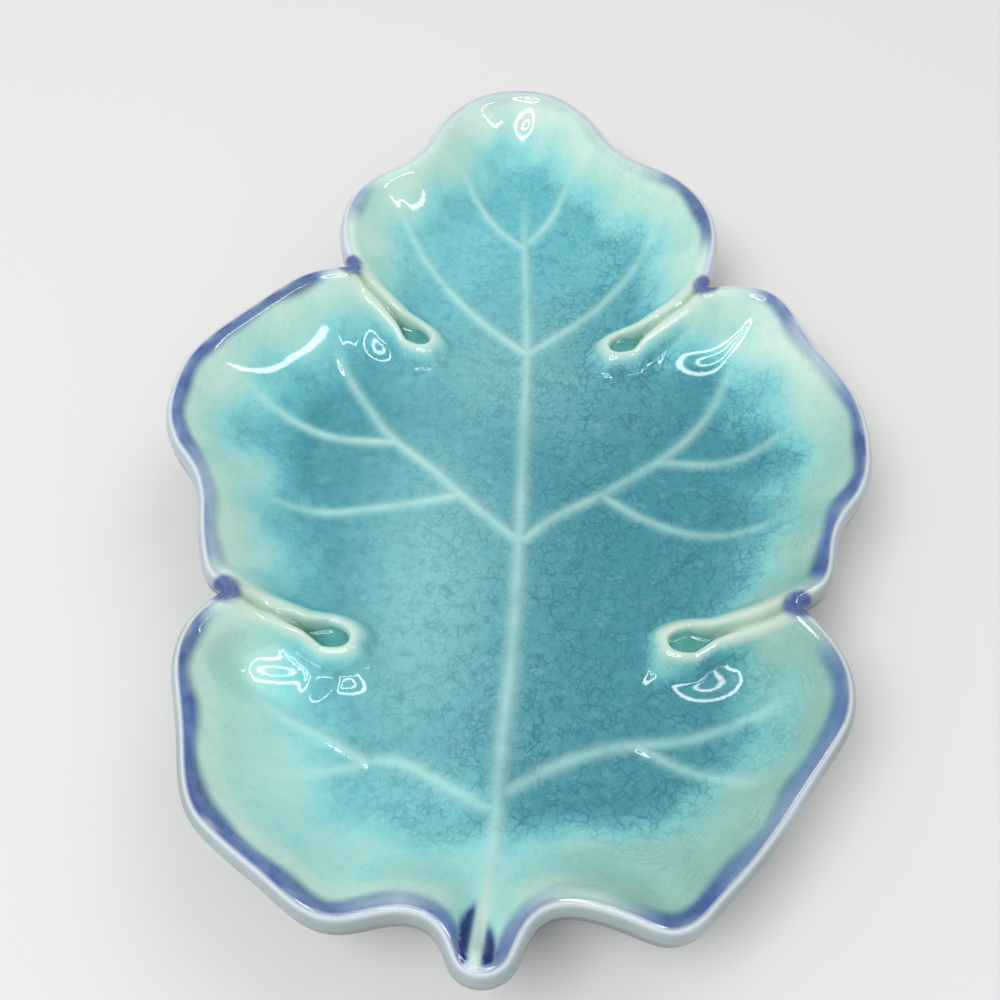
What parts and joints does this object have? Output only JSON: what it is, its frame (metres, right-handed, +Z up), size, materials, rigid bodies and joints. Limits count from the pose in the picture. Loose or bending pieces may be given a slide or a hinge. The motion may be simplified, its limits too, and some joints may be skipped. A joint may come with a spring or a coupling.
{
  "type": "ring dish",
  "caption": "Leaf-shaped ceramic ring dish with turquoise crackle glaze, a cobalt band inside the pale rolled rim, raised veins and closed clefts between its lobes, on a low oval foot ring.",
  "frame": {"origin": "On the table under the middle of the dish's width and length", "axes": "X is the dish's width, to the right seen with the leaf's tip away; Y is its length, towards the leaf's tip; Z is up"},
  "size_m": [0.1004, 0.1504, 0.018],
  "materials": {
    "leaf_clay": "pale stoneware, under a thin film of glaze along the veins",
    "bare_clay": "matte unglazed stoneware",
    "crackle_glaze": "glossy turquoise crackle glaze",
    "pooled_glaze": "glossy thick dark green glaze"
  },
  "bodies": {
    "root": {"leaf_body": "leaf_clay", "foot_ring": "bare_clay", "glaze_coat": "crackle_glaze", "glaze_pool_upper_left": "pooled_glaze", "glaze_pool_upper_right": "pooled_glaze", "glaze_pool_lower_left": "pooled_glaze", "glaze_pool_lower_right": "pooled_glaze"}
  },
  "joints": []
}
